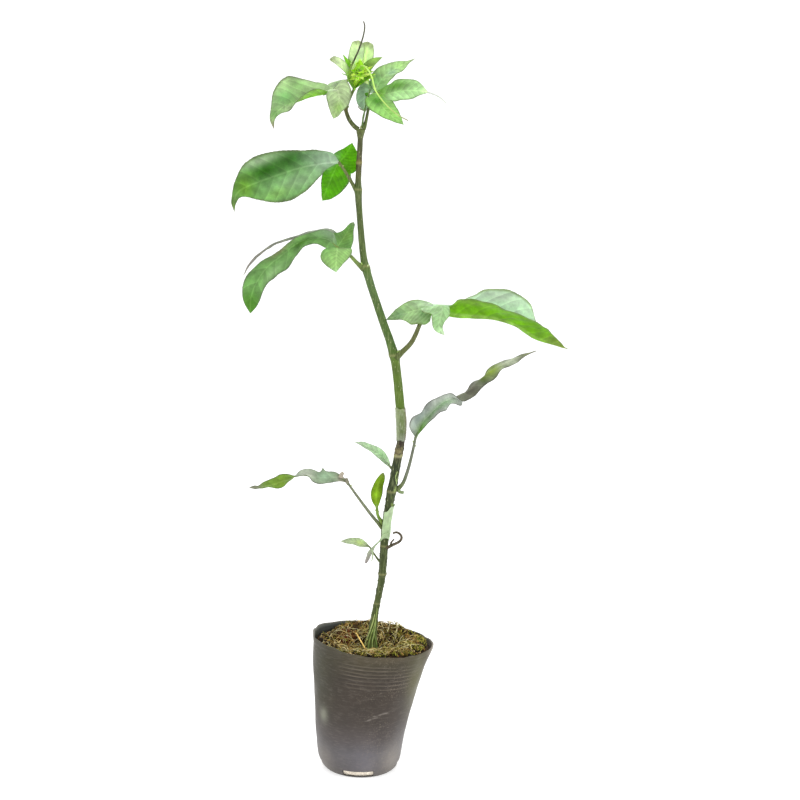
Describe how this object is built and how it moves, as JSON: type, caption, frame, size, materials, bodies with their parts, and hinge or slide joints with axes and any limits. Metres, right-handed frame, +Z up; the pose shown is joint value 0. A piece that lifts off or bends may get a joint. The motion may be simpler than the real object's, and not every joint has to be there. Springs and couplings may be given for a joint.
{
  "type": "potted passion fruit vine",
  "caption": "Young grafted passion fruit vine with lobed leaves, tendrils and a leafy shoot tip, rooted in a filled soft nursery pot that stands on its flat underside.",
  "frame": {"origin": "centre of the pot's flat underside, on the surface that it stands on", "axes": "+Z up along the plant; -Y toward the picture's viewer; +X to the viewer's right, the side of the largest leaf"},
  "size_m": [0.2678, 0.0897, 0.5977],
  "materials": {
    "pot_plastic": "thin soft black polythene, weathered brown-grey and dusty",
    "growing_mix": "coarse bark and coir mix with straw",
    "green_stem": "satin green bark, darker and rougher below the graft",
    "graft_film": "pale green translucent grafting film",
    "leaf_green": "smooth leaf, satin above, paler below",
    "leaf_grey": "ageing leaf, dull grey-green with purplish margins",
    "leaf_young": "soft young leaf, bright yellow-green",
    "old_tendril": "dry dark tendril"
  },
  "bodies": {
    "root": {"pot": "pot_plastic", "growing_medium": "growing_mix", "trunk": "green_stem", "graft_tape_upper": "graft_film", "graft_tape_lower": "graft_film", "top_bough": "green_stem", "leaf_left_top": "leaf_green", "leaf_right_top": "leaf_green", "leaf_left_upper": "leaf_green", "leaf_left_middle": "leaf_green", "leaf_right_large": "leaf_green", "leaf_right_twisted": "leaf_grey", "leaf_small_pale": "leaf_green", "leaf_small_upright": "leaf_young", "leaf_left_twisted": "leaf_grey", "leaf_small_low": "leaf_green", "shoot_tip": "leaf_young", "tendril_low": "old_tendril"}
  },
  "joints": []
}
